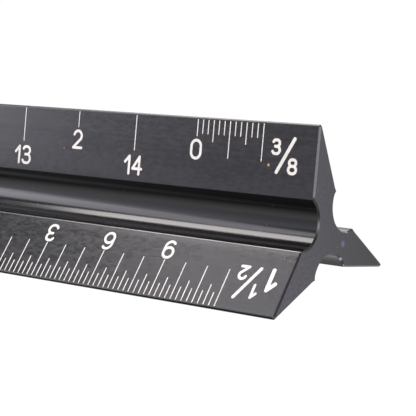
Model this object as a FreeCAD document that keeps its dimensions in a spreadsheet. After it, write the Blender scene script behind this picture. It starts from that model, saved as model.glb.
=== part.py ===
import FreeCAD, Part
import math
import os

import Sketcher
from FreeCAD import Placement, Rotation, Vector

# An architect's triangular scale: one extruded aluminium bar with three blades and a finger groove between
# each pair of them. Its six faces are engraved with eleven scales, and white enamel fills the engraving
# flush. X runs along the bar and Z is up. The origin is midway along the bar, on the plane that the two
# lower blades' edges rest on. Lengths are in millimetres, and angles in degrees unless a name says
# otherwise.

doc = FreeCAD.newDocument("TriangularScale")

# ----------------------------------------------------------------------------------------------------
# Driving sizes
# ----------------------------------------------------------------------------------------------------
SIZES = (
    ("scale_span", 304.8, "graduated length, which is 12 inches"),
    ("end_margin", 7.6, "bare bar beyond the graduated length, at each end"),
    ("edge_reach", 12.77, "middle of the section to the crest of a blade's edge"),
    ("blade_angle", 29.6, "angle between the two faces of a blade"),
    ("tip_radius", 0.265, "rounding of a blade's edge"),
    ("core_radius", 2.2, "middle of the section to the bottom of a groove"),
    ("groove_radius", 3.07, "radius of a finger groove"),
    ("lip_radius", 0.12, "rounding where a face meets a groove"),
    ("end_chamfer", 0.2, "chamfer around each sawn end"),
    ("mark_depth", 0.1, "depth of the engraving and of its filling"),
    ("tick_width", 0.12, "width of a graduation"),
    ("stroke_width", 0.34, "width of a figure's strokes"),
    ("whole_stroke", 0.5, "width of the strokes of a label's whole number"),
    ("bar_stroke", 0.42, "width of the sloping bar in a label's fraction"),
    ("tick_start", 0.04, "rounded edge to the outer end of the graduations"),
    ("fine_depth", 2.72, "blade's sharp corner to the inner end of the shortest graduations"),
    ("short_depth", 3.05, "the same, for graduations with a figure in the upper row"),
    ("medium_depth", 3.6, "the same, for quarters of a foot"),
    ("half_depth", 4.4, "the same, for half inches of the full-size scale"),
    ("long_gap", 0.55, "inner end of a long graduation to the lower row of figures"),
    ("inch_gap", 0.12, "the same, for the inches of the largest scales"),
    ("row_clearance", 0.3, "short graduation to the upper row of figures"),
    ("row_gap", 0.1, "upper row of figures to the lower row"),
    ("lip_clearance", 0.75, "lower row of figures to the face's border with the groove"),
    ("figure_gap", 0.25, "one figure to the next in a number"),
    ("label_gap", 1.3, "last graduation to the scale's label beyond it"),
    ("row_shift", 0.63, "how far the 1 1/2 and 3 scales sit towards -X of the others, by error"),
)

sheet = doc.addObject("Spreadsheet::Sheet", "Sizes")
for line, (alias, value, meaning) in enumerate(SIZES, start=1):
    sheet.set(f"A{line}", alias)
    sheet.set(f"B{line}", str(value))
    sheet.set(f"C{line}", meaning)
    sheet.setAlias(f"B{line}", alias)
doc.recompute()


def size(alias):
    """The value of one cell of the sheet."""
    return float(sheet.get(alias))


# ----------------------------------------------------------------------------------------------------
# The section, worked out from the driving sizes
# ----------------------------------------------------------------------------------------------------
NEAR = 0.01  # places closer than this are the same place
BLADES = 3
GROOVE_TURN = math.pi / BLADES  # from a blade's middle plane to the middle of the groove beside it
half_angle = math.radians(size("blade_angle") / 2)
sharp_reach = size("edge_reach") + size("tip_radius") / math.sin(half_angle) - size("tip_radius")
groove_offset = size("core_radius") + size("groove_radius")
tip_offset = size("edge_reach") - size("tip_radius")
rest_height = tip_offset * math.cos(GROOVE_TURN) + size("tip_radius")


def face_width():
    """Width of a face, from the blade's sharp corner S to the lip where it meets the groove.

    The face leaves S along the unit vector d. The groove's circle has centre C and radius r, so the lip is at the
    smaller w for which |S + w d - C| = r, that is w^2 + 2 w d.(S - C) + |S - C|^2 = r^2.
    """
    groove_place = (groove_offset * math.sin(GROOVE_TURN), groove_offset * math.cos(GROOVE_TURN))
    from_centre = Vector(-groove_place[0], sharp_reach - groove_place[1])
    down_face = Vector(math.sin(half_angle), -math.cos(half_angle))
    along = down_face.dot(from_centre)
    return -along - math.sqrt(along**2 - from_centre.dot(from_centre) + size("groove_radius") ** 2)


# ----------------------------------------------------------------------------------------------------
# The bar: a third of the section padded, repeated around X, then chamfered and rounded
# ----------------------------------------------------------------------------------------------------
START, END, CENTRE = 1, 2, 3  # a sketched edge's points
ORIGIN, VERTICAL = -1, -2  # the sketch's own origin and vertical axis


def arc(centre, radius, start, end):
    """Part of a circle in the sketch, counterclockwise from one point to another."""
    first = math.atan2(start.y - centre.y, start.x - centre.x)
    last = math.atan2(end.y - centre.y, end.x - centre.x)
    return Part.ArcOfCircle(Part.Circle(centre, Vector(0, 0, 1), radius), first, last)


def mirrored(point):
    return Vector(-point.x, point.y, 0)


def draw_blade_share(sketch):
    """A third of the section: the upper blade, half of the groove on each side of it, and its share of the core.

    Sketch X is the bar's Y, and sketch Y is its Z.
    """
    width = face_width()
    to_groove = Vector(math.sin(GROOVE_TURN), math.cos(GROOVE_TURN), 0)
    bottom = to_groove * size("core_radius")
    groove_centre = to_groove * groove_offset
    lip = Vector(width * math.sin(half_angle), sharp_reach - width * math.cos(half_angle), 0)
    tip_centre = Vector(0, tip_offset, 0)
    tangent = tip_centre + Vector(math.cos(half_angle), math.sin(half_angle), 0) * size("tip_radius")
    middle = Vector(0, 0, 0)
    radius = size("groove_radius")

    tip = sketch.addGeometry(arc(tip_centre, size("tip_radius"), tangent, mirrored(tangent)))
    right_share = sketch.addGeometry(Part.LineSegment(middle, bottom))
    left_share = sketch.addGeometry(Part.LineSegment(mirrored(bottom), middle))
    right_groove = sketch.addGeometry(arc(groove_centre, radius, lip, bottom))
    left_groove = sketch.addGeometry(arc(mirrored(groove_centre), radius, mirrored(bottom), mirrored(lip)))
    right_face = sketch.addGeometry(Part.LineSegment(lip, tangent))
    left_face = sketch.addGeometry(Part.LineSegment(mirrored(tangent), mirrored(lip)))

    def hold(kind, *targets):
        return sketch.addConstraint(Sketcher.Constraint(kind, *targets))

    def drive(expression, kind, *targets):
        sketch.setExpression(f"Constraints[{hold(kind, *targets)}]", expression)

    hold("Coincident", right_share, START, ORIGIN, START)
    hold("Coincident", left_share, END, ORIGIN, START)
    hold("Coincident", right_share, END, right_groove, END)
    hold("Coincident", left_share, START, left_groove, START)
    hold("Coincident", right_groove, START, right_face, START)
    hold("Coincident", left_groove, END, left_face, END)
    hold("Tangent", right_face, END, tip, START)
    hold("Tangent", tip, END, left_face, START)
    hold("PointOnObject", tip, CENTRE, VERTICAL)
    drive("Sizes.tip_radius", "Radius", tip, size("tip_radius"))
    drive("Sizes.edge_reach - Sizes.tip_radius", "Distance", tip, CENTRE, ORIGIN, START, tip_offset)
    for share, groove, face, side in (
        (right_share, right_groove, right_face, 1),
        (left_share, left_groove, left_face, -1),
    ):
        hold("Angle", share, side * (math.pi / 2 - GROOVE_TURN))
        hold("PointOnObject", groove, CENTRE, share)
        drive("Sizes.groove_radius", "Radius", groove, radius)
        drive("Sizes.core_radius + Sizes.groove_radius", "Distance", groove, CENTRE, ORIGIN, START, groove_offset)
        drive(f"{side} * (90 + Sizes.blade_angle / 2)", "Angle", face, side * (math.pi / 2 + half_angle))
    return math.hypot(lip.x, lip.y)


def edges_where(shape, wanted):
    """Names of the shape's edges whose bounding box passes a test."""
    return [f"Edge{number}" for number, edge in enumerate(shape.Edges, start=1) if wanted(edge.BoundBox)]


def build_blank():
    """The extruded bar before it is engraved."""
    body = doc.addObject("PartDesign::Body", "Blank")
    section_plane = next(feature for feature in body.Origin.OriginFeatures if feature.Role == "YZ_Plane")
    sketch = body.newObject("Sketcher::SketchObject", "BladeSection")
    sketch.AttachmentSupport = [(section_plane, "")]
    sketch.MapMode = "FlatFace"
    lip_reach = draw_blade_share(sketch)
    doc.recompute()
    assert sketch.FullyConstrained, "the section has a free size"

    share = body.newObject("PartDesign::Pad", "BladeShare")
    share.Profile = sketch
    share.SideType = "Symmetric"
    share.setExpression("Length", "Sizes.scale_span + 2 * Sizes.end_margin")
    doc.recompute()

    blades = body.newObject("PartDesign::PolarPattern", "Blades")
    blades.Originals = [share]
    blades.Axis = (sketch, ["N_Axis"])
    blades.Angle = 360
    blades.Occurrences = BLADES
    body.Tip = blades
    doc.recompute()

    end_x = size("scale_span") / 2 + size("end_margin")

    def at_an_end(box):
        return abs(abs(box.Center.x) - end_x) < NEAR

    ends = body.newObject("PartDesign::Chamfer", "BrokenEnds")
    ends.Base = (blades, edges_where(blades.Shape, at_an_end))
    ends.setExpression("Size", "min(Sizes.end_chamfer; 0.8 * Sizes.tip_radius)")
    doc.recompute()

    def along_a_lip(box):
        reach = math.hypot(box.Center.y, box.Center.z)
        return box.XLength > size("scale_span") and abs(reach - lip_reach) < NEAR

    lips = body.newObject("PartDesign::Fillet", "GrooveLips")
    lips.Base = (ends, edges_where(ends.Shape, along_a_lip))
    lips.setExpression("Radius", "Sizes.lip_radius")
    body.Tip = lips
    body.setExpression("Placement.Base.z", "(Sizes.edge_reach - Sizes.tip_radius) / 2 + Sizes.tip_radius")
    doc.recompute()
    return body


# ----------------------------------------------------------------------------------------------------
# Figures: an engraver's alphabet of constant-width strokes with round ends
# ----------------------------------------------------------------------------------------------------
# A stroke is a list of stops: a point (x, y), or an arc (centre x, centre y, radius, first angle, last
# angle), and straight lines join each stop to the next. The strokes' middle lines fill a box 1 high and
# FIGURE_WIDE wide.
FIGURE_WIDE = 0.66
NARROW_FIGURES = {"1": 0.32}
OPEN_STROKES = {
    "1": [[(0.00, 0.66), (0.32, 1.00), (0.32, 0.00)]],
    "2": [[(0.33, 0.70, 0.30, 165, -35), (0.00, 0.00), (0.66, 0.00)]],
    "3": [
        [(0.28, 0.765, 0.235, 155, 90), (0.385, 0.765, 0.235, 90, -90), (0.24, 0.53)],
        [(0.24, 0.53), (0.395, 0.265, 0.265, 90, -90), (0.28, 0.265, 0.265, 270, 205)],
    ],
    "4": [[(0.48, 1.00), (0.00, 0.30), (0.66, 0.30)], [(0.48, 1.00), (0.48, 0.00)]],
    "5": [[(0.60, 1.00), (0.15, 1.00), (0.11, 0.53)], [(0.34, 0.315, 0.315, 137, -150)]],
    "6": [[(0.00, 0.31), (0.33, 0.67, 0.33, 180, 45)]],
    "7": [[(0.00, 1.00), (0.66, 1.00), (0.22, 0.00)]],
    "9": [[(0.66, 0.69), (0.33, 0.33, 0.33, 0, -135)]],
}
CLOSED_STROKES = {
    "0": [[(0.33, 0.33, 0.33, -180, 0), (0.33, 0.67, 0.33, 0, 180)]],
    "6": [[(0.35, 0.31, 0.31, -90, 90), (0.31, 0.31, 0.31, 90, 270)]],
    "8": [
        [(0.385, 0.765, 0.235, -90, 90), (0.275, 0.765, 0.235, 90, 270)],
        [(0.395, 0.265, 0.265, -90, 90), (0.265, 0.265, 0.265, 90, 270)],
    ],
    "9": [[(0.35, 0.69, 0.31, -90, 90), (0.31, 0.69, 0.31, 90, 270)]],
}
SAME_POINT = 1e-6


def stroke_edges(stops, scale, closed):
    """The middle line of a stroke, as edges in the XY plane."""
    edges = []
    here = None
    first = None

    def line_to(point):
        if here is not None and here.distanceToPoint(point) > SAME_POINT:
            edges.append(Part.makeLine(here, point))

    for stop in stops:
        if len(stop) == 2:
            start = end = Vector(*stop, 0) * scale
            line_to(start)
        else:
            centre = Vector(*stop[:2], 0) * scale
            angles = (stop[3], (stop[3] + stop[4]) / 2, stop[4])
            radians = [math.radians(angle) for angle in angles]
            turns = (Vector(math.cos(angle), math.sin(angle), 0) for angle in radians)
            start, middle, end = (centre + turn * stop[2] * scale for turn in turns)
            line_to(start)
            edges.append(Part.Arc(start, middle, end).toShape())
        first = first or start
        here = end
    if closed:
        line_to(first)
    return edges


def straight_stroke(start, end, width):
    """The face of one straight stroke with round ends."""
    along = (end - start).normalize() * (width / 2)
    aside = Vector(along.y, -along.x, 0)
    outline = [
        Part.makeLine(start + aside, end + aside),
        Part.Arc(end + aside, end + along, end - aside).toShape(),
        Part.makeLine(end - aside, start - aside),
        Part.Arc(start - aside, start - along, start + aside).toShape(),
    ]
    return Part.Face(Part.Wire(outline))


def stroke_face(edges, width):
    """The area that a round cutter of the given width covers as it follows the edges."""
    if len(edges) == 1 and isinstance(edges[0].Curve, Part.Line):
        return straight_stroke(edges[0].firstVertex().Point, edges[0].lastVertex().Point, width)
    path = Part.Wire(edges)
    if path.isClosed():
        outer = Part.Face(path.makeOffset2D(width / 2))
        inner = Part.Face(path.makeOffset2D(-width / 2))
        return outer.cut(inner).Faces[0]
    return Part.Face(path.makeOffset2D(width / 2))


finished_figures = {}


def figure_face(figure, tall, width):
    """One figure as a face, tall high over all, with its box's lower left corner at the origin."""
    if (figure, tall, width) not in finished_figures:
        scale = tall - width
        strokes = [stroke_edges(stops, scale, False) for stops in OPEN_STROKES.get(figure, [])]
        strokes += [stroke_edges(stops, scale, True) for stops in CLOSED_STROKES.get(figure, [])]
        faces = [stroke_face(edges, width) for edges in strokes]
        joined = faces[0].fuse(faces[1:]).removeSplitter() if len(faces) > 1 else faces[0]
        assert len(joined.Faces) == 1, f"the strokes of figure {figure} don't join"
        finished_figures[figure, tall, width] = joined.Faces[0].translated(Vector(width / 2, width / 2, 0))
    return finished_figures[figure, tall, width]


def figure_wide(figure, tall, width):
    """Width over all of one figure whose strokes are width wide."""
    return NARROW_FIGURES.get(figure, FIGURE_WIDE) * (tall - width) + width


def number_faces(text, middle_x, middle_y, tall, stroke="stroke_width"):
    """The figures of a number, side by side about a middle, in strokes of the named width."""
    width = size(stroke)
    widths = [figure_wide(figure, tall, width) for figure in text]
    x = middle_x - (sum(widths) + size("figure_gap") * (len(text) - 1)) / 2
    faces = []
    for figure, wide in zip(text, widths):
        faces.append(figure_face(figure, tall, width).translated(Vector(x, middle_y - tall / 2, 0)))
        x += wide + size("figure_gap")
    return faces


# ----------------------------------------------------------------------------------------------------
# Rows on a face. There x runs along the reading direction from the graduated length's left end, and y runs
# up to the blade's sharp corner at y = 0, so everything on the face has a negative y.
# ----------------------------------------------------------------------------------------------------
tick_top = -size("tip_radius") / math.tan(half_angle) - size("tick_start")
upper_top = -size("short_depth") - size("row_clearance")
lower_bottom = -face_width() + size("lip_clearance")
figure_tall = (upper_top - lower_bottom - size("row_gap")) / 2
lower_top = lower_bottom + figure_tall
upper_row = upper_top - figure_tall / 2
lower_row = lower_top - figure_tall / 2
DEPTHS = {
    "fine": size("fine_depth"),
    "short": size("short_depth"),
    "medium": size("medium_depth"),
    "half": size("half_depth"),
    "long": -lower_top - size("long_gap"),
    "inch": -lower_top - size("inch_gap"),
}
INCHES = 12  # in the graduated length, and in a foot
inch = size("scale_span") / INCHES

# How far a divided foot's graduations reach, by the number of its divisions: every so many inches, how far
FOOT_LEVELS = {
    6: ((12, "long"), (6, "medium"), (2, "fine")),
    12: ((6, "long"), (3, "medium"), (1, "fine")),
    24: ((6, "long"), (3, "medium"), (1, "short"), (1 / 2, "fine")),
    48: ((1, "inch"), (1 / 2, "medium"), (1 / 4, "fine")),
    96: ((1, "inch"), (1 / 2, "medium"), (1 / 4, "short"), (1 / 8, "fine")),
}
FULL_SIZE_LEVELS = ((1, "long"), (1 / 2, "half"), (1 / 4, "medium"), (1 / 8, "short"), (1 / 16, "fine"))

# A label's parts as shares of the height of the figures in the rows, about the middle of its sloping bar
SMALL_TALL = 0.77
UPPER_PLACE = Vector(-0.56, 0.37)
LOWER_PLACE = Vector(0.42, -0.48)
BAR_SIZE = Vector(0.88, 1.57)
WHOLE_TALL = 1.22
WHOLE_PLACE = Vector(-1.31, -0.29)
LABEL_RISE = 0.05


def depth_at(inches, levels):
    """How far a graduation reaches: the first level whose step divides its inches."""
    return next(DEPTHS[depth] for step, depth in levels if inches % step == 0)


def tick_face(x, depth):
    """One graduation, from the rounded edge to a depth below the sharp corner."""
    half = size("tick_width") / 2
    left_outer = Vector(x - half, tick_top, 0)
    left_inner = Vector(x - half, -depth, 0)
    right_inner = Vector(x + half, -depth, 0)
    right_outer = Vector(x + half, tick_top, 0)
    return Part.Face(Part.makePolygon([left_outer, left_inner, right_inner, right_outer, left_outer]))


def label_parts(label):
    """A scale's name about the origin: a whole number, a fraction with a sloping bar, or one after the other."""
    whole, _, fraction = label.rpartition(" ") if "/" in label else (label, "", "")
    faces = []
    if whole:
        place = WHOLE_PLACE * figure_tall
        faces += number_faces(whole, place.x, place.y, WHOLE_TALL * figure_tall, "whole_stroke")
    if fraction:
        small = SMALL_TALL * figure_tall
        upper, lower = fraction.split("/")
        for text, share, side in ((upper, UPPER_PLACE, -1), (lower, LOWER_PLACE, 1)):
            place = share * figure_tall
            extra = (len(text) - 1) * (figure_wide("8", small, size("stroke_width")) + size("figure_gap")) / 2
            faces += number_faces(text, place.x + side * extra, place.y, small)
        half_bar = BAR_SIZE * (figure_tall / 2)
        faces.append(straight_stroke(half_bar * -1, half_bar, size("bar_stroke")))
    return faces


class FullSizeScale:
    """Inches and sixteenths along the whole face, labelled at its left end."""

    name = "16"
    label = "16"
    end = "left"
    sixteenths = 16

    def graduations(self, neighbour):
        steps = range(INCHES * self.sixteenths + 1)
        return [tick_face(inch * step / self.sixteenths, depth_at(step / self.sixteenths, FULL_SIZE_LEVELS))
                for step in steps]

    def figures(self, neighbour):
        faces = []
        for inches in range(1, INCHES):
            faces += number_faces(str(inches), inch * inches, lower_row, figure_tall)
        return faces


class FootScale:
    """A scale of so many inches to the foot, which starts at the left or the right end of a face.

    Outside its zero lies one foot in fine divisions. Two such scales share a face: the smaller one's figures are
    in the upper row, and those of the larger one, whose foot is twice as long, in the lower row.
    """

    def __init__(self, label, foot_inches, divisions, end, row, every, inch_figures=()):
        self.label = label
        self.name = label.replace(" ", "_").replace("/", "_")
        self.foot = foot_inches * inch
        self.divisions = divisions
        self.end = end
        self.every = every  # feet from one numbered foot to the next
        self.inch_figures = inch_figures
        self.is_larger = row == "lower"
        self.row_y = lower_row if self.is_larger else upper_row
        long_feet = self.is_larger and self.foot > ROOMY_FOOT
        self.numbered_depth = DEPTHS["long" if long_feet else "short"]

    def place(self, distance):
        """x of a point so far from the end that the scale starts at."""
        return distance if self.end == "left" else size("scale_span") - distance

    def feet(self, neighbour):
        """(feet, x) of every whole foot between this scale's zero and its neighbour's."""
        room = size("scale_span") - self.foot - neighbour.foot
        count = math.ceil((room - NEAR) / self.foot) - 1
        return [(feet, self.place(self.foot * (feet + 1))) for feet in range(1, count + 1)]

    def graduations(self, neighbour):
        faces = [tick_face(self.place(self.foot), self.numbered_depth)]
        for step in range(self.divisions):
            inches = INCHES - INCHES * step / self.divisions
            depth = depth_at(inches, FOOT_LEVELS[self.divisions])
            faces.append(tick_face(self.place(self.foot * step / self.divisions), depth))
        shared = [] if self.is_larger else [x for _, x in neighbour.feet(self)]
        for feet, x in self.feet(neighbour):
            depth = self.numbered_depth if feet % self.every == 0 else DEPTHS["fine"]
            if all(abs(x - other_x) > 2 * size("tick_width") for other_x in shared):
                faces.append(tick_face(x, depth))
        return faces

    def figures(self, neighbour):
        faces = number_faces("0", self.place(self.foot), self.row_y, figure_tall)
        for feet, x in self.feet(neighbour):
            if feet % self.every == 0:
                faces += number_faces(str(feet), x, self.row_y, figure_tall)
        for inches in self.inch_figures:
            x = self.place(self.foot * (INCHES - inches) / INCHES)
            faces += number_faces(str(inches), x, lower_row, figure_tall)
        return faces


def label_faces(scale):
    """A scale's name, set off outside its first graduation."""
    faces = label_parts(scale.label)
    box = Part.makeCompound(faces).BoundBox
    if scale.end == "left":
        x = -size("label_gap") - box.XMax
    else:
        x = size("scale_span") + size("label_gap") - box.XMin
    return [face.translated(Vector(x, upper_row + LABEL_RISE * figure_tall, 0)) for face in faces]


ROOMY_FOOT = inch / 2  # a larger scale's foot above this length leaves room for long graduations between figures
QUARTERS = (3, 6, 9)

# Each face: its blade's angle in the section, its side of the blade, its shift along X, its scales
FACES = (
    (90, 1, 0, [FootScale("3/8", 3 / 8, 12, "right", "upper", 2),
                FootScale("3/4", 3 / 4, 24, "left", "lower", 1, (6,))]),
    (210, -1, -size("row_shift"), [FootScale("1 1/2", 3 / 2, 48, "left", "upper", 2, QUARTERS),
                                   FootScale("3", 3, 96, "right", "lower", 1, QUARTERS)]),
    (210, 1, 0, [FullSizeScale()]),
    (330, -1, 0, [FootScale("3/32", 3 / 32, 6, "left", "upper", 4),
                  FootScale("3/16", 3 / 16, 12, "right", "lower", 4)]),
    (330, 1, 0, [FootScale("1/8", 1 / 8, 6, "left", "upper", 4),
                 FootScale("1/4", 1 / 4, 12, "right", "lower", 2)]),
    (90, -1, 0, [FootScale("1/2", 1 / 2, 24, "left", "upper", 2, (6,)),
                 FootScale("1", 1, 48, "right", "lower", 1, QUARTERS)]),
)


def face_placement(blade_angle, side, shift):
    """A face's own frame: X along its reading direction, Y up to the blade's sharp corner, Z out of the metal."""
    angle = math.radians(blade_angle)
    outward = Vector(0, math.cos(angle), math.sin(angle))
    aside = Vector(0, -math.sin(angle), math.cos(angle)) * side
    up = outward * math.cos(half_angle) - aside * math.sin(half_angle)
    normal = outward * math.sin(half_angle) + aside * math.cos(half_angle)
    reading = up.cross(normal)
    corner = Vector(shift, 0, rest_height) + outward * sharp_reach - reading * (size("scale_span") / 2)
    return Placement(corner, Rotation(reading, up, normal, "ZXY"))


def build_filling(name, faces, placement):
    """White enamel in one group of marks: their outlines on the bar's face, thickened into the metal."""
    outline = doc.addObject("Part::Feature", f"Outline_{name}")
    outline.Shape = Part.makeCompound(faces)
    outline.Placement = placement
    filling = doc.addObject("Part::Extrusion", name)
    filling.Label = name
    filling.Base = outline
    filling.DirMode = "Custom"
    filling.Dir = placement.Rotation.multVec(Vector(0, 0, -1))
    filling.Solid = True
    filling.setExpression("LengthFwd", "Sizes.mark_depth")
    return filling, len(faces)


def build_fillings():
    """(filling, number of its marks) for the graduations, figures and label of every scale."""
    fillings = []
    for blade_angle, side, shift, scales in FACES:
        placement = face_placement(blade_angle, side, shift)
        for scale in scales:
            neighbour = scales[0] if scale is scales[-1] else scales[-1]
            name = f"scale_{scale.name}"
            fillings.append(build_filling(f"{name}_graduations", scale.graduations(neighbour), placement))
            fillings.append(build_filling(f"{name}_figures", scale.figures(neighbour), placement))
            fillings.append(build_filling(f"{name}_label", label_faces(scale), placement))
    return fillings


def build_bar(blank, fillings):
    """The blank with a recess for every filling."""
    marks = doc.addObject("Part::Compound", "Marks")
    marks.Links = fillings
    bar = doc.addObject("Part::Cut", "ruler_bar")
    bar.Label = "ruler_bar"
    bar.Base = blank
    bar.Tool = marks
    bar.Refine = False  # every recess keeps its own faces, so there is nothing to merge
    return bar


# ----------------------------------------------------------------------------------------------------
# Build, check and write
# ----------------------------------------------------------------------------------------------------
blank = build_blank()
fillings_and_counts = build_fillings()
fillings = [filling for filling, _ in fillings_and_counts]
bar = build_bar(blank, fillings)
doc.recompute()

for item in doc.Objects:
    assert not {"Invalid", "Error"} & set(item.State), f"{item.Label} failed: {item.State}"
for node in [bar] + fillings:
    assert not node.Shape.isNull() and node.Shape.isValid(), f"{node.Label} has no valid shape"
for filling, count in fillings_and_counts:
    assert len(filling.Shape.Solids) == count, f"{filling.Label} has merged or missing marks"
assert len(bar.Shape.Solids) == 1, "the bar is in pieces"
engraved = blank.Shape.Volume - bar.Shape.Volume
filled = sum(filling.Shape.Volume for filling in fillings)
assert abs(engraved - filled) < 0.001 * filled, f"{engraved} mm3 engraved, but {filled} mm3 filled"

os.makedirs("parts", exist_ok=True)
for node in [bar] + fillings:
    node.Shape.exportStep(f"parts/{node.Label}.step")
print(f"{len(fillings) + 1} nodes, {sum(count for _, count in fillings_and_counts)} marks")
print(f"bar {bar.Shape.Volume:.1f} mm3, engraved {engraved:.3f} mm3, filled {filled:.3f} mm3")
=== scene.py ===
# %% [markdown]
# # A triangular scale ruler
# The object is one extruded aluminium bar with three blades, black anodised, whose engraved graduations and
# figures are filled with white enamel. It could be modelled from a box with bevels, or swept with Blender's
# curve tools. Here every surface is worked out as a grid of points, because the places that catch the light
# are arcs of known radius, and because the CAD model, loaded first, already fixes where everything is.

# %% Load the frame and keep its box
import math

import bmesh
import bpy
import numpy as np
from mathutils import Matrix, Vector


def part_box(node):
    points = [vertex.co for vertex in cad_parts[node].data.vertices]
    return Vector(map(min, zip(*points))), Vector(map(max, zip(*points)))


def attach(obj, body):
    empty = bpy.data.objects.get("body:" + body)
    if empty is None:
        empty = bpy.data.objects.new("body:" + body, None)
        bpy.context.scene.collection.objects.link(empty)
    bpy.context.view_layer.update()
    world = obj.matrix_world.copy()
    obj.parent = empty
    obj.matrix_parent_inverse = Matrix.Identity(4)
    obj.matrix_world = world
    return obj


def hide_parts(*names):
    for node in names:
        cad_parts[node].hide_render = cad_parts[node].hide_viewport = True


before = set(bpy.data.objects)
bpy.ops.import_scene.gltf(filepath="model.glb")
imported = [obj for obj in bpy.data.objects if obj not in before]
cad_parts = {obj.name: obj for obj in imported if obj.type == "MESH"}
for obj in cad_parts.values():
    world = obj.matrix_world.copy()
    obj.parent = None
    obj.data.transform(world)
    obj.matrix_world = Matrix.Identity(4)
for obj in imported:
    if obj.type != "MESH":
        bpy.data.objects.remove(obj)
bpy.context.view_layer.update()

MM = 0.001
MICRON = 1e-6

# %% [markdown]
# ## The camera
# A close view of one end, from a little above, with a long lens, so that the far part of the bar leaves the
# frame. A camera could be aimed with a constraint, but three plain angles keep it still in every view: how
# far round it stands, how high, and how much it is rolled.

# %% The camera
CAMERA_PLACE = Vector((243.755, -124.179, 47.618)) * MM
CAMERA_AZIMUTH = math.radians(39.032)
CAMERA_ELEVATION = math.radians(13.8387)
CAMERA_ROLL = math.radians(-4.304)
CAMERA_LENS = 119.49

back = Vector((
    math.sin(CAMERA_AZIMUTH) * math.cos(CAMERA_ELEVATION),
    -math.cos(CAMERA_AZIMUTH) * math.cos(CAMERA_ELEVATION),
    math.sin(CAMERA_ELEVATION),
))
aim = back.to_track_quat("Z", "Y").to_matrix() @ Matrix.Rotation(CAMERA_ROLL, 3, "Z")
camera_data = bpy.data.cameras.new("camera")
camera_data.lens = CAMERA_LENS
camera_data.sensor_width = 36
camera_data.clip_start = 0.01
camera = bpy.data.objects.new("camera", camera_data)
camera.matrix_world = Matrix.Translation(CAMERA_PLACE) @ aim.to_4x4()
bpy.context.scene.collection.objects.link(camera)
bpy.context.scene.camera = camera
print("camera axes:", [tuple(round(v, 4) for v in aim.col[i]) for i in range(3)])

# %% [markdown]
# ## The section
# One half of a blade is drawn from the bottom of a finger groove, round its lip and along the flat face, to
# the crest of the blade's rounded edge. A mirrored and two turned copies complete the section. Boxes and
# bevels would only come near these tangent arcs, so the outline is worked out from its tangent points
# instead, and each stretch gets as many points as its curve needs.

# %% Sizes of the section
BLADES = 3
BLADE_ANGLE = math.radians(29.6)  # between the two faces of a blade
TIP_RADIUS = 0.265 * MM
LIP_RADIUS = 0.12 * MM
CORE_RADIUS = 2.2 * MM  # middle of the section to the bottom of a groove
GROOVE_RADIUS = 3.07 * MM
RELIEF = 0.012 * MM  # the visible bar lies this much inside the CAD one, so the enamel stands a hair proud

bar_low, bar_high = (np.array(corner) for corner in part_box("ruler_bar"))
half_length = (bar_high[0] - bar_low[0]) / 2
# its height is reach + (reach - r) / 2 + r, where r is the radius of a blade's rounded edge
edge_reach = (bar_high[2] - bar_low[2] - TIP_RADIUS / 2) / 1.5
axis_height = bar_high[2] - edge_reach
lengths = (half_length, edge_reach, axis_height)
print("half length, reach and axis height in mm:", *(round(length / MM, 3) for length in lengths))

# %% One half of a blade
GROOVE_STEPS = 46
LIP_STEPS = 10
FACE_STEPS = 118
TIP_STEPS = 9


def arc(centre, radius, first, last, count):
    """Points centre + radius (cos a, sin a), the angle a stepping evenly from first to last."""
    angles = np.linspace(first, last, count)
    return centre + radius * np.column_stack([np.cos(angles), np.sin(angles)])


def half_blade():
    """Points (across, up) of half a blade, their outward normals, and a number for the stretch each is on.

    The face leaves the sharp corner S along d, with outward normal n. The lip's arc, of radius r, touches the
    face from inside and the groove's circle, of centre G and radius R, from outside. So its centre is
    S + w d - r n, and is R + r from G, which is a quadratic in w.
    """
    half_angle = BLADE_ANGLE / 2
    down = np.array([math.sin(half_angle), -math.cos(half_angle)])
    normal = np.array([math.cos(half_angle), math.sin(half_angle)])
    tip_centre = np.array([0.0, edge_reach - TIP_RADIUS])
    tip_radius = TIP_RADIUS - RELIEF
    sharp = tip_centre + np.array([0.0, tip_radius / math.sin(half_angle)])
    groove_turn = math.pi / BLADES
    groove = (CORE_RADIUS + GROOVE_RADIUS) * np.array([math.sin(groove_turn), math.cos(groove_turn)])
    groove_radius = GROOVE_RADIUS + RELIEF

    start = sharp - LIP_RADIUS * normal - groove
    middle = start @ down
    face_length = -middle - math.sqrt(middle**2 - start @ start + (groove_radius + LIP_RADIUS) ** 2)
    lip_centre = groove + start + face_length * down
    to_lip = (lip_centre - groove) / (groove_radius + LIP_RADIUS)

    face_angle = math.atan2(normal[1], normal[0])
    bottom_angle = math.atan2(-groove[1], -groove[0]) % (2 * math.pi)
    lip_angle = math.atan2(to_lip[1], to_lip[0]) % (2 * math.pi)
    groove_points = arc(groove, groove_radius, bottom_angle, lip_angle, GROOVE_STEPS)
    lip_points = arc(lip_centre, LIP_RADIUS, lip_angle - math.pi, face_angle, LIP_STEPS)[1:]
    tip_points = arc(tip_centre, tip_radius, face_angle, math.pi / 2, TIP_STEPS)
    share = np.linspace(0, 1, FACE_STEPS)[1:-1, None]
    face_points = lip_points[-1] + share * (tip_points[0] - lip_points[-1])
    normals = np.vstack([
        (groove - groove_points) / groove_radius,
        (lip_points - lip_centre) / LIP_RADIUS,
        np.tile(normal, (len(face_points), 1)),
        (tip_points - tip_centre) / tip_radius,
    ])
    stretches = (groove_points, lip_points, face_points, tip_points)
    stretch = np.repeat(np.arange(4), [len(points) for points in stretches])
    return np.vstack(stretches), normals, stretch


points, normals, stretch = half_blade()
lip_place = points[stretch == 1][0, 0]
print("half a blade has", len(points), "points; its lip is", round(lip_place / MM, 2), "mm from its middle")


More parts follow.
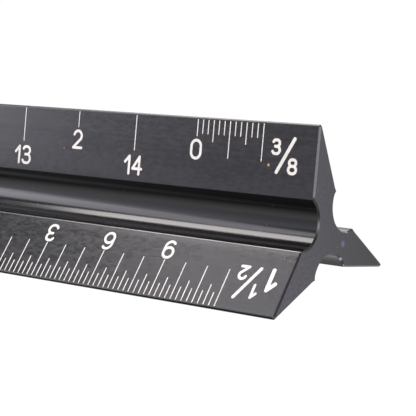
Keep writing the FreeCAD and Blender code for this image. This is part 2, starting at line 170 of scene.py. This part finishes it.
# %% The whole section
def whole_section(points, normals, stretch):
    """The closed outline as one loop: each blade is one half, then the same half mirrored, run backwards."""
    loop = np.concatenate([np.arange(len(points)), np.arange(len(points) - 2, 0, -1)])
    side = np.where(np.arange(len(loop)) < len(points), 1.0, -1.0)[:, None] * [1, 0] + [0, 1]
    outline, outward = [], []
    for blade in range(BLADES):
        turn = 2 * math.pi * blade / BLADES
        rotate = np.array([[math.cos(turn), math.sin(turn)], [-math.sin(turn), math.cos(turn)]])
        outline.append((points[loop] * side) @ rotate)
        outward.append((normals[loop] * side) @ rotate)
    return np.vstack(outline), np.vstack(outward), np.tile(stretch[loop], BLADES), loop


outline, outward, zone, loop = whole_section(points, normals, stretch)
gaps = np.linalg.norm(np.roll(outline, -1, axis=0) - outline, axis=1)
print("section points:", len(outline), "steps in mm:", *(round(v / MM, 4) for v in (gaps.min(), gaps.max())))

# %% [markdown]
# ## The bar
# The outline is carried along the bar, over the small chamfer at each end, and in across the sawn face to
# the middle of each blade, all as rows of one grid, so the bar is a single closed skin. Stations crowd
# towards the ends, where there is more to see. A plain array of an extruded outline would leave the ends as
# one big polygon each. The extrusion die leaves very shallow ridges along the faces, which are real shape
# too: about a thousandth of a millimetre high, and enough to streak a reflection. Next to a lip the face
# rolls off by a little over a hundredth of one, which draws a fine line of light there.

# %% Where each point of the outline goes on the sawn face
END_CHAMFER = 0.2 * MM
LIP_CHAMFER = 0.09 * MM  # the chamfer narrows to this round a lip, whose radius is smaller than the chamfer
LIP_REACH = 0.3 * MM
SPINE_END = 0.5 * MM  # the middle line of a blade stops this far from its crest

along = np.concatenate([[0], np.cumsum(np.linalg.norm(np.diff(points, axis=0), axis=1))])
lip_middle = along[stretch == 1].mean()
narrowing = np.exp(-(((along - lip_middle) / LIP_REACH) ** 2))
chamfer = (END_CHAMFER - (END_CHAMFER - LIP_CHAMFER) * narrowing)[loop][:, None]
chamfer = np.tile(chamfer, (BLADES, 1))

spine_share = (points[:, 1] - points[0, 1]) / (points[-1, 1] - points[0, 1])
spine_line = np.column_stack([np.zeros(len(points)), spine_share * (points[-1, 1] - SPINE_END)])
spine = whole_section(spine_line, normals, stretch)[0]
print("lip is", round(lip_middle / MM, 2), "mm along the outline, which is", round(along[-1] / MM, 2), "mm")

# %% Die lines
# (height in micrometres, spacing across in mm, drift along in mm, offset in turns), all as plain sines
DIE_LINES = (
    (1.0, 2.90, 900, 0.10),
    (0.35, 1.13, 520, 0.35),
    (0.20, 0.71, 700, 0.80),
    (0.12, 0.47, 380, 0.55),
    (0.08, 0.31, 450, 0.22),
)
QUIET_BAND = 0.35 * MM  # the ridges die out this near a lip or a rounded edge
ROLL_DEPTH = 0.014 * MM  # a face falls away by this at its lip
ROLL_REACH = 1.30 * MM
ROLL_REACH_IN_GROOVE = 0.39 * MM

face_along = along[stretch == 2]
from_edges = np.minimum(along - face_along[0], face_along[-1] - along).clip(0)
ridge_share = (1 - np.exp(-from_edges / QUIET_BAND)) * (stretch == 2)
ridge_share = np.tile(ridge_share[loop], BLADES)
roll_reach = np.where(along < lip_middle, ROLL_REACH_IN_GROOVE, ROLL_REACH)
roll = ROLL_DEPTH * (1 - np.abs(along - lip_middle) / roll_reach).clip(0) ** 2
roll = np.tile(roll[loop], BLADES)
across = np.concatenate([[0], np.cumsum(gaps[:-1])])


def die_lines(x):
    """Height at every station x and outline point: sines across that drift slowly along, less the roll."""
    height = np.zeros((len(x), len(across)))
    for microns, spacing, drift, offset in DIE_LINES:
        phase = across[None] / (spacing * MM) + np.sin(2 * math.pi * (x[:, None] / (drift * MM) + offset))
        height += microns * MICRON * np.sin(2 * math.pi * (phase + offset))
    return height * ridge_share - roll


mid_bar = die_lines(np.zeros(1)) / MM
print("ridges and roll move the skin by", round(mid_bar.min(), 4), "to", round(mid_bar.max(), 4), "mm")

# %% The grid of the bar
STATIONS = 64
CAP_ROWS = 6

stations = (half_length - END_CHAMFER) * np.sin(np.linspace(-math.pi / 2, math.pi / 2, STATIONS))
inward = np.linspace(0, 1, CAP_ROWS + 1)
row_x = np.concatenate([np.full(CAP_ROWS + 1, -half_length), stations, np.full(CAP_ROWS + 1, half_length)])
row_in = np.concatenate([inward[::-1], np.zeros(STATIONS), inward])[:, None, None]
row_cut = (np.abs(row_x) > half_length - END_CHAMFER / 2)[:, None, None]


def bar_grid():
    """Row r, point i: outline_i + (ridge_ri - cut_r chamfer_i) n_i, moved the share in_r to the spine."""
    rim = outline[None] + (die_lines(row_x)[..., None] - row_cut * chamfer[None]) * outward[None]
    flat = rim + row_in * (spine[None] - rim)
    x = np.broadcast_to(row_x[:, None, None], flat.shape[:2] + (1,))
    return np.concatenate([x, flat + [0, axis_height]], axis=2)


grid = bar_grid()
print("rows x points:", grid.shape[:2], "triangles about", 2 * grid.shape[0] * grid.shape[1])

# %% [markdown]
# ## Dents at the ends
# The sharp corners of the sawn ends get knocked in use. A dent could be sculpted, or cut out with a sphere.
# A smooth push on the points near it keeps the grid whole, and the same list later says where bare metal
# shows.

# %% Small dents from use at the ends
DENT_AIM = 0.9  # a dent is pushed towards the axis, at this share of the way to its end
# (x, y, z in mm, radius in mm, depth in mm), on the end chamfers
DENTS = (
    (160.0, 4.05, 6.18, 0.42, 0.06),
    (160.0, 2.37, 3.14, 0.50, 0.05),
    (160.0, 2.72, 2.66, 0.22, 0.02),
    (160.0, 2.90, 2.37, 0.22, 0.02),
    (160.0, 3.02, 2.12, 0.22, 0.02),
    (-160.0, 6.20, 5.10, 0.50, 0.05),
    (-160.0, -0.60, 18.3, 0.45, 0.04),
    (-160.0, -9.80, 1.20, 0.40, 0.05),
)


def press_dents(grid):
    """Moves a point at distance d from a dent towards the bar's axis, by depth (1 - (d / radius)^2)^2."""
    for *place, radius, depth in DENTS:
        centre = np.array(place) * MM
        distance = np.linalg.norm(grid - centre, axis=2)
        push = depth * MM * (1 - (distance / (radius * MM)) ** 2).clip(0) ** 2
        middle = np.array([centre[0] * DENT_AIM, 0, axis_height])
        towards = (middle - centre) / np.linalg.norm(middle - centre)
        grid = grid + push[..., None] * towards
    return grid


pressed = press_dents(grid)
deepest = np.linalg.norm(pressed - grid, axis=2).max()
print(len(DENTS), "dents, the deepest", round(deepest / MM, 3), "mm")
grid = pressed

# %% [markdown]
# ## One closed skin
# The grid becomes quads that point outwards. Its innermost row at each end lies on the middle lines of the
# blades, where the two sides of a blade meet point for point, so merging what lies in the same place closes
# the skin. The ends could be filled with a polygon instead, but it would shade badly beside the chamfer.
# Each point also stores whether it is in a groove or on a lip, because the finish differs there.


# %% Make the bar's mesh
def closed_grid_faces(rows, columns):
    """Quads (r, i), (r, i + 1), (r + 1, i + 1), (r + 1, i) of a grid whose rows r are closed loops of points i.

    They point outwards if each row runs anticlockwise as seen from the last row's side.
    """
    row, column = np.meshgrid(np.arange(rows - 1), np.arange(columns), indexing="ij")
    after = (column + 1) % columns
    here = row * columns
    above = here + columns
    return np.stack([here + column, here + after, above + after, above + column], axis=-1).reshape(-1, 4)


def make_mesh(name, vertices, faces):
    """A new object at the origin, with these vertices and faces."""
    mesh = bpy.data.meshes.new(name)
    mesh.from_pydata(vertices.reshape(-1, 3), [], faces.tolist())
    mesh.update()
    piece = bpy.data.objects.new(name, mesh)
    bpy.context.scene.collection.objects.link(piece)
    return piece


bar = make_mesh("anodised_bar_surface", grid, closed_grid_faces(*grid.shape[:2]))
print("quads before the doubles are merged:", len(bar.data.polygons))

# %% Mark the grooves and the lips for the finish
FACING_UP = 0.5  # only the lips whose normal rises by more than this, towards the light from above, get the paler colour of rubbed wear and painted highlight

groove_points = zone == 0
lip_points = (zone == 1) & (outward[:, 1] > FACING_UP)
for name, values in (("groove", groove_points), ("edge", lip_points)):
    attribute = bar.data.attributes.new(name, "FLOAT", "POINT")
    attribute.data.foreach_set("value", np.tile(values.astype(np.float32), grid.shape[0]))
    print(name, "holds", round(100 * values.mean()), "% of the outline's points")

# %% Close the skin
SAME_PLACE = 1e-6
SHARP_ANGLE = math.radians(25)

shell = bmesh.new()
shell.from_mesh(bar.data)
bmesh.ops.remove_doubles(shell, verts=shell.verts, dist=SAME_PLACE)
open_edges = sum(not edge.is_manifold for edge in shell.edges)
shell.to_mesh(bar.data)
volume = shell.calc_volume()
shell.free()
bar.data.shade_smooth()
bar.data.set_sharp_from_angle(angle=SHARP_ANGLE)
print("bar:", len(bar.data.vertices), "vertices,", open_edges, "open edges")
print("volume:", round(volume / MM**3), "cubic mm")

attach(bar, "root")
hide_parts("ruler_bar")

# %% [markdown]
# ## Black anodised aluminium
# Anodising leaves a clear, hard oxide over brushed metal, dyed black: a dark body with a soft, tight
# reflection that is streaked along the bar. A flat black paint would look like plastic, and an image would
# have to be unwrapped. So noise that is stretched about two hundred times along X drives colour and a
# shallow bump together, and a finer grain breaks up the gloss. The grooves are blacker and smoother than
# the faces, and the sawn ends greyer and duller, with a painted shade that darkens them from the -Y side
# to the +Y side. The lips that face up are painted paler, partly as rubbed wear and partly as a painted
# highlight for the light from above that catches them. Dust sits here and there, and bright metal shows
# where an end chamfer has been knocked.

# %% Helpers for materials
NOISE_SPAN = (0.3, 0.7)  # nearly all of a noise lies between these


def add(tree, kind, inputs=None, **settings):
    """One node: settings are its properties, inputs a dict from socket to a value or a node's output."""
    made = tree.nodes.new(kind)
    for name, value in settings.items():
        setattr(made, name, value)
    for socket, value in (inputs or {}).items():
        if isinstance(value, bpy.types.NodeSocket):
            tree.links.new(value, made.inputs[socket])
        else:
            made.inputs[socket].default_value = value
    return made


def empty_material(name):
    """A material with a Principled shader, its node tree, and the object's own coordinates."""
    material = bpy.data.materials.new(name)
    material.use_nodes = True
    tree = material.node_tree
    shader = tree.nodes["Principled BSDF"]
    return material, tree, shader, add(tree, "ShaderNodeTexCoord").outputs["Object"]


def stretched_noise(tree, place, grains, detail):
    """Noise with about that many grains to a metre along, across and up."""
    mapping = add(tree, "ShaderNodeMapping", {"Vector": place, "Scale": grains})
    inputs = {"Vector": mapping.outputs["Vector"], "Scale": 1.0, "Detail": detail}
    return add(tree, "ShaderNodeTexNoise", inputs).outputs["Fac"]


def ranged(tree, value, low, high, to_low, to_high):
    """value, from low to high, mapped to to_low to to_high and held there outside."""
    inputs = {"Value": value, "From Min": low, "From Max": high, "To Min": to_low, "To Max": to_high}
    return add(tree, "ShaderNodeMapRange", inputs).outputs["Result"]


def calculate(tree, operation, first, second):
    """One step of arithmetic; first and second are numbers or other nodes' outputs."""
    return add(tree, "ShaderNodeMath", {0: first, 1: second}, operation=operation).outputs["Value"]


def blend_values(tree, share, first, second):
    """first where share is 0, second where it is 1; each is a number or another node's output."""
    return add(tree, "ShaderNodeMix", {0: share, 2: first, 3: second}).outputs[0]


def blend_colours(tree, share, first, second):
    """first where share is 0, second where it is 1; each is a colour or another node's output."""
    ends = [end if isinstance(end, bpy.types.NodeSocket) else (*end, 1) for end in (first, second)]
    return add(tree, "ShaderNodeMix", {0: share, 6: ends[0], 7: ends[1]}, data_type="RGBA").outputs[2]


def specks(tree, place, cell, size, few):
    """A mask of small round specks: one in each cell of that side whose own random number passes few."""
    cells = add(tree, "ShaderNodeTexVoronoi", {"Vector": place, "Scale": 1 / cell}, feature="F1")
    chance = add(tree, "ShaderNodeSeparateColor", {"Color": cells.outputs["Color"]}).outputs["Red"]
    inside = ranged(tree, cells.outputs["Distance"], size / cell, 0.5 * size / cell, 0.0, 1.0)
    return calculate(tree, "MULTIPLY", inside, calculate(tree, "GREATER_THAN", chance, few))


def near(tree, place, spot, outer, inner):
    """1 within inner of the spot (in mm), 0 beyond outer."""
    offset = add(tree, "ShaderNodeVectorMath", {0: place, 1: Vector(spot) * MM}, operation="DISTANCE")
    return ranged(tree, offset.outputs["Value"], outer, inner, 0.0, 1.0)


def bumped(tree, height, distance, below=None):
    """The normal after a bump that is distance high, on top of the normal below, if one is given."""
    inputs = {"Height": height, "Strength": 1.0, "Distance": distance}
    if below is not None:
        inputs["Normal"] = below
    return add(tree, "ShaderNodeBump", inputs).outputs["Normal"]


# %% Streaked black dye
OXIDE_DARK = (0.0045, 0.0044, 0.0051)
OXIDE_LIGHT = (0.0150, 0.0145, 0.0168)
GROOVE_BLACK = (0.0010, 0.0010, 0.0011)
GROOVE_SHARE = 0.9
DYE_SPAN = (1.30, 1.70)  # the three noises together, from dark to light
# grains to a metre, along, across and up
STREAK_GRAINS = (14, 2600, 2600)
FINE_STREAK_GRAINS = (45, 9000, 9000)
PATCH_GRAINS = (70, 240, 240)
FINE_GRAINS = (1100, 2400, 2400)

anodised, tree, shader, place = empty_material("black_anodised")
in_groove = add(tree, "ShaderNodeAttribute", attribute_name="groove").outputs["Fac"]
streaks = stretched_noise(tree, place, STREAK_GRAINS, 3.0)
fine_streaks = stretched_noise(tree, place, FINE_STREAK_GRAINS, 2.0)
patches = stretched_noise(tree, place, PATCH_GRAINS, 4.0)
grain = stretched_noise(tree, place, FINE_GRAINS, 2.0)
dye = calculate(tree, "ADD", calculate(tree, "ADD", streaks, patches), grain)
colour = blend_colours(tree, ranged(tree, dye, *DYE_SPAN, 0.0, 1.0), OXIDE_DARK, OXIDE_LIGHT)
colour = blend_colours(tree, calculate(tree, "MULTIPLY", in_groove, GROOVE_SHARE), colour, GROOVE_BLACK)
length, width, _ = (round(1 / grains / MM, 2) for grains in STREAK_GRAINS)
print("a streak is about", length, "mm long and", width, "mm wide")

# %% Rubbed lips, partly a painted highlight
LIP_WORN_AND_HIGHLIGHT = (0.30, 0.29, 0.285)
WORN_AND_HIGHLIGHT_SHARE = (0.35, 0.9)  # from the least rubbed stretches to the most
WORN_SPAN = (0.35, 0.65)  # of the patches' noise

at_edge = add(tree, "ShaderNodeAttribute", attribute_name="edge").outputs["Fac"]
# Painted highlight: the up-facing lips are blended towards a pale grey, partly as rubbed wear and partly
# standing in for the line of light that catches them from above.
worn_and_painted_highlight = calculate(tree, "MULTIPLY", at_edge, ranged(tree, patches, *WORN_SPAN, *WORN_AND_HIGHLIGHT_SHARE))
colour = blend_colours(tree, worn_and_painted_highlight, colour, LIP_WORN_AND_HIGHLIGHT)
print("the lips are", WORN_AND_HIGHLIGHT_SHARE, "of the way to bare metal")

# %% Sawn ends, with a painted shade across them
SAWN_GREY = (0.055, 0.052, 0.066)
# The dark colour below is both the +Y end of the painted shade across the sawn face and the colour of its
# grain.
SAWN_DARK_GRAIN_AND_SHADE = (0.006, 0.006, 0.009)
SAWN_DEPTH = 0.02 * MM  # nothing further in than this counts as the sawn face
SAWN_SHADE_HALF_WIDTH = 9 * MM  # a painted shade darkens the sawn face from the -Y side to the +Y side over this half width
SAWN_GRAINS = (0, 2600, 2600)
SAWN_SPAN = (0.35, 0.75)
SAWN_GRAIN_SHARE = 0.65

axes = add(tree, "ShaderNodeSeparateXYZ", {"Vector": place}).outputs
end_distance = calculate(tree, "SUBTRACT", half_length, calculate(tree, "ABSOLUTE", axes["X"], 0.0))
sawn = ranged(tree, end_distance, SAWN_DEPTH, 0.0, 0.0, 1.0)
# Painted shade: the sawn face is darkened from the -Y side to the +Y side, standing in for light that reaches
# it unevenly.
sawn_painted_shade = ranged(tree, axes["Y"], -SAWN_SHADE_HALF_WIDTH, SAWN_SHADE_HALF_WIDTH, 0.0, 1.0)
sawn_colour = blend_colours(tree, sawn_painted_shade, SAWN_GREY, SAWN_DARK_GRAIN_AND_SHADE)
sawn_grain = ranged(tree, stretched_noise(tree, place, SAWN_GRAINS, 3.0), *SAWN_SPAN, 0.0, SAWN_GRAIN_SHARE)
sawn_colour = blend_colours(tree, sawn_grain, sawn_colour, SAWN_DARK_GRAIN_AND_SHADE)
colour = blend_colours(tree, sawn, colour, sawn_colour)
print("nodes so far:", len(tree.nodes))

# %% Dust, a stain and a fibre
DUST = (0.26, 0.25, 0.23)
# side of a cell, radius of its speck, and the share of cells that have none
COARSE_DUST = (2.3 * MM, 0.10 * MM, 0.78)
FINE_DUST = (0.9 * MM, 0.07 * MM, 0.70)
FINE_DUST_SHARE = 0.35
STAIN_BLUE = (0.070, 0.105, 0.190)
STAIN_PLACE = (160.0, 3.0, 4.89)
STAIN_REACH = (0.50 * MM, 0.15 * MM)  # where it ends, and where it starts to fade
STAIN_SHARE = 0.8
FIBRE = (0.62, 0.32, 0.13)
FIBRE_PLACE = (153.47, -1.45, 14.59)
FIBRE_REACH = (0.21 * MM, 0.10 * MM)

coarse_dust = specks(tree, place, *COARSE_DUST)
fine_dust = calculate(tree, "MULTIPLY", specks(tree, place, *FINE_DUST), FINE_DUST_SHARE)
dust = calculate(tree, "MAXIMUM", coarse_dust, fine_dust)
colour = blend_colours(tree, dust, colour, DUST)
stain = near(tree, place, STAIN_PLACE, *STAIN_REACH)
colour = blend_colours(tree, calculate(tree, "MULTIPLY", stain, STAIN_SHARE), colour, STAIN_BLUE)
fibre = near(tree, place, FIBRE_PLACE, *FIBRE_REACH)
colour = blend_colours(tree, fibre, colour, FIBRE)
print("specks are", round(COARSE_DUST[1] / MM, 2), "and", round(FINE_DUST[1] / MM, 2), "mm in radius")

# %% Bare metal where a chamfer is knocked
BARE_METAL = (0.38, 0.42, 0.53)
BARE_OUTER = 0.72  # of the dent's radius
BARE_INNER = 0.40
BARE_REACH = 0.24 * MM  # no bare metal further than this from the end

metal = None
for *spot, radius, _ in DENTS:
    bare = near(tree, place, spot, BARE_OUTER * radius * MM, BARE_INNER * radius * MM)
    metal = bare if metal is None else calculate(tree, "MAXIMUM", metal, bare)
metal = calculate(tree, "MULTIPLY", metal, ranged(tree, end_distance, BARE_REACH, END_CHAMFER, 0.0, 1.0))
colour = blend_colours(tree, metal, colour, BARE_METAL)
print("nodes for the colour:", len(tree.nodes))

# %% Gloss
FACE_ROUGHNESS = (0.165, 0.255)
GROOVE_ROUGHNESS = (0.12, 0.16)
SAWN_ROUGHNESS = 0.48
DUST_ROUGHNESS = 0.8
METAL_ROUGHNESS = 0.4
CHAMFER_ROUGHNESS = 0.30
CHAMFER_REACH = 0.22 * MM

face_roughness = ranged(tree, grain, *NOISE_SPAN, *FACE_ROUGHNESS)
groove_roughness = ranged(tree, fine_streaks, *NOISE_SPAN, *GROOVE_ROUGHNESS)
roughness = blend_values(tree, in_groove, face_roughness, groove_roughness)
on_chamfer = ranged(tree, end_distance, CHAMFER_REACH, END_CHAMFER, 0.0, CHAMFER_ROUGHNESS)
roughness = calculate(tree, "MAXIMUM", roughness, on_chamfer)
for mask, dull in ((sawn, SAWN_ROUGHNESS), (dust, DUST_ROUGHNESS), (metal, METAL_ROUGHNESS)):
    roughness = calculate(tree, "MAXIMUM", roughness, calculate(tree, "MULTIPLY", mask, dull))
print("roughness of faces and grooves:", FACE_ROUGHNESS, GROOVE_ROUGHNESS)

# %% Bump, and the finish on the bar
OXIDE_INDEX = 1.53  # refractive index of the clear oxide
STREAK_HEIGHT = 0.5 * MICRON
FINE_STREAK_HEIGHT = 0.17 * MICRON
SAW_MARK_HEIGHT = 3 * MICRON
SAW_MARK_GRAINS = (0, 900, 9000)

saw_marks = calculate(tree, "MULTIPLY", stretched_noise(tree, place, SAW_MARK_GRAINS, 3.0), sawn)
normal = bumped(tree, streaks, STREAK_HEIGHT)
normal = bumped(tree, fine_streaks, FINE_STREAK_HEIGHT, normal)
normal = bumped(tree, saw_marks, SAW_MARK_HEIGHT, normal)
tree.links.new(colour, shader.inputs["Base Color"])
tree.links.new(roughness, shader.inputs["Roughness"])
tree.links.new(metal, shader.inputs["Metallic"])
tree.links.new(normal, shader.inputs["Normal"])
shader.inputs["IOR"].default_value = OXIDE_INDEX
bar.data.materials.append(anodised)
print("nodes in the finish:", len(tree.nodes))

# %% [markdown]
# ## White enamel in the engraving
# The marks are cut a tenth of a millimetre deep, flooded with enamel and wiped, which leaves a warm white
# that is slightly uneven from mark to mark. They could be painted on as an image, but they are already
# solids of the CAD model, in the right places, so they stay as they are and only get their finish.

# %% The enamel finish
ENAMEL_LIGHT = (0.90, 0.865, 0.80)
ENAMEL_WORN = (0.70, 0.66, 0.59)
ENAMEL_SPAN = (0.85, 1.45)  # the two noises together, from light to worn
ENAMEL_ROUGHNESS = (0.38, 0.55)
ENAMEL_HEIGHT = 4 * MICRON
WIPED_GRAINS = (900, 1400, 1400)
CLOUD_GRAINS = (90, 160, 160)

enamel, tree, shader, place = empty_material("white_enamel")
wiped = stretched_noise(tree, place, WIPED_GRAINS, 3.0)
clouds = stretched_noise(tree, place, CLOUD_GRAINS, 2.0)
wear = ranged(tree, calculate(tree, "ADD", wiped, clouds), *ENAMEL_SPAN, 0.0, 1.0)
tree.links.new(blend_colours(tree, wear, ENAMEL_LIGHT, ENAMEL_WORN), shader.inputs["Base Color"])
tree.links.new(ranged(tree, wiped, *NOISE_SPAN, *ENAMEL_ROUGHNESS), shader.inputs["Roughness"])
tree.links.new(bumped(tree, wiped, ENAMEL_HEIGHT), shader.inputs["Normal"])

marks = [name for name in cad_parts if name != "ruler_bar"]
for name in marks:
    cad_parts[name].data.materials.clear()
    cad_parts[name].data.materials.append(enamel)
print("enamel on", len(marks), "groups of marks")

# %% [markdown]
# ## Floor and light
# A plain white floor runs out to a white surround, so the object stands alone. A glossy bar is lit by what
# it reflects. An image wrapped round the scene could do that, but a few soft boxes in a plain surround are
# easier to place. One box high on the left makes the band in the groove and the sheen of the lower face.
# One in front on the left lights the deep part of the groove, and one low on the right picks out the end
# chamfers. The surround is dim overhead, weaker straight in front, and warmer behind. The floor is paper
# that glows by itself: full behind and under the bar, and darkest close in front of it, where a shade of
# the bar is painted into the glow. The camera sees floor and surround whiter than the bar does, as a lit
# paper sweep behind it would be.

# %% White surround
SEEN_WHITE = 1.02
WHITE = (1, 1, 1)
COOL_GREY = (0.965, 0.945, 1.08)
WARM_GREY = (1.0, 0.98, 0.97)
# each is two values of the direction's Y or Z, and the brightness at each of them
FRONT_LIGHT = (-0.85, -0.60, 0.70, 1.5)
ABOVE_LIGHT = (0.45, 0.60, 1.0, 0.22)
BEHIND_LIGHT = (0.1, 0.4, 0.0, 0.65)

world = bpy.data.worlds.new("surround")
bpy.context.scene.world = world
world.use_nodes = True
tree = world.node_tree
direction = add(tree, "ShaderNodeTexCoord").outputs["Generated"]
toward = add(tree, "ShaderNodeSeparateXYZ", {"Vector": direction}).outputs
front = ranged(tree, toward["Y"], *FRONT_LIGHT)
above = ranged(tree, toward["Z"], *ABOVE_LIGHT)
behind = ranged(tree, toward["Y"], *BEHIND_LIGHT)
surround = calculate(tree, "MULTIPLY", front, calculate(tree, "MAXIMUM", above, behind))
tint = blend_colours(tree, behind, COOL_GREY, WARM_GREY)
seen = add(tree, "ShaderNodeLightPath").outputs["Is Camera Ray"]
background = tree.nodes["Background"].inputs
tree.links.new(blend_values(tree, seen, surround, SEEN_WHITE), background["Strength"])
tree.links.new(blend_colours(tree, seen, tint, WHITE), background["Color"])
print("surround overhead and behind:", ABOVE_LIGHT[3], BEHIND_LIGHT[3])

# %% Floor
FLOOR_SIDE = 6.0
SENT_BACK = 1.0  # brightness that the paper behind and under the bar sends up to it
FRONT_SENT_BACK = 0.95
PAINTED_SHADE_FADE = 12 * MM  # how far out in front of the bar the shade painted into the floor's glow lasts

corners = np.array([(-1, -1, 0), (1, -1, 0), (1, 1, 0), (-1, 1, 0)]) * FLOOR_SIDE / 2
floor = make_mesh("floor", corners, np.array([[0, 1, 2, 3]]))
paper = bpy.data.materials.new("white_paper")
paper.use_nodes = True
tree = paper.node_tree
tree.nodes.remove(tree.nodes["Principled BSDF"])
seen = add(tree, "ShaderNodeLightPath").outputs["Is Camera Ray"]
place = add(tree, "ShaderNodeTexCoord").outputs["Object"]
y = add(tree, "ShaderNodeSeparateXYZ", {"Vector": place}).outputs["Y"]
front_edge = float(bar_low[1])
# Painted shade: close in front of the bar the paper's glow is cut down, rising again with distance, in place of
# the shadow the bar would cast.
steps_out = calculate(tree, "DIVIDE", calculate(tree, "SUBTRACT", y, front_edge), PAINTED_SHADE_FADE)
lit = calculate(tree, "SUBTRACT", 1.0, calculate(tree, "EXPONENT", steps_out, 0.0))
behind = calculate(tree, "MULTIPLY", calculate(tree, "GREATER_THAN", y, front_edge), SENT_BACK)
sent_back = calculate(tree, "MAXIMUM", calculate(tree, "MULTIPLY", lit, FRONT_SENT_BACK), behind)
strength = blend_values(tree, seen, sent_back, SEEN_WHITE)
tint = blend_colours(tree, seen, WARM_GREY, WHITE)
glow = add(tree, "ShaderNodeEmission", {"Strength": strength, "Color": tint})
tree.links.new(glow.outputs["Emission"], tree.nodes["Material Output"].inputs["Surface"])
floor.data.materials.append(paper)
print("the bar's front edge is at y =", round(front_edge / MM, 2), "mm")

# %% Soft boxes
# name, where it is as seen from the bar's near end (metres), width, height, brightness, colour
SOFT_BOXES = (
    ("overhead_box", (-0.53, 0.066, 1.01), 0.71, 0.68, 8.0, (1.0, 0.955, 0.94)),
    ("side_box", (-0.855, -0.575, 0.61), 0.31, 0.89, 3.0, (0.985, 0.96, 1.02)),
    ("back_box", (0.84, -0.54, 0.10), 0.60, 0.60, 5.0, (0.97, 0.98, 1.0)),
)
bar_end = Vector((half_length, 0, axis_height))
for name, offset, width, height, brightness, colour in SOFT_BOXES:
    lamp = bpy.data.lights.new(name, "AREA")
    lamp.shape = "RECTANGLE"
    lamp.size, lamp.size_y = width, height
    lamp.energy = brightness * math.pi * width * height
    lamp.color = colour
    box = bpy.data.objects.new(name, lamp)
    box.location = bar_end + Vector(offset)
    box.rotation_euler = Vector(offset).to_track_quat("Z", "Y").to_euler()
    box.visible_camera = False
    bpy.context.scene.collection.objects.link(box)
    print(name, "gives", round(lamp.energy, 2), "W from", round(Vector(offset).length, 2), "m")

bpy.context.scene.view_settings.view_transform = "Standard"
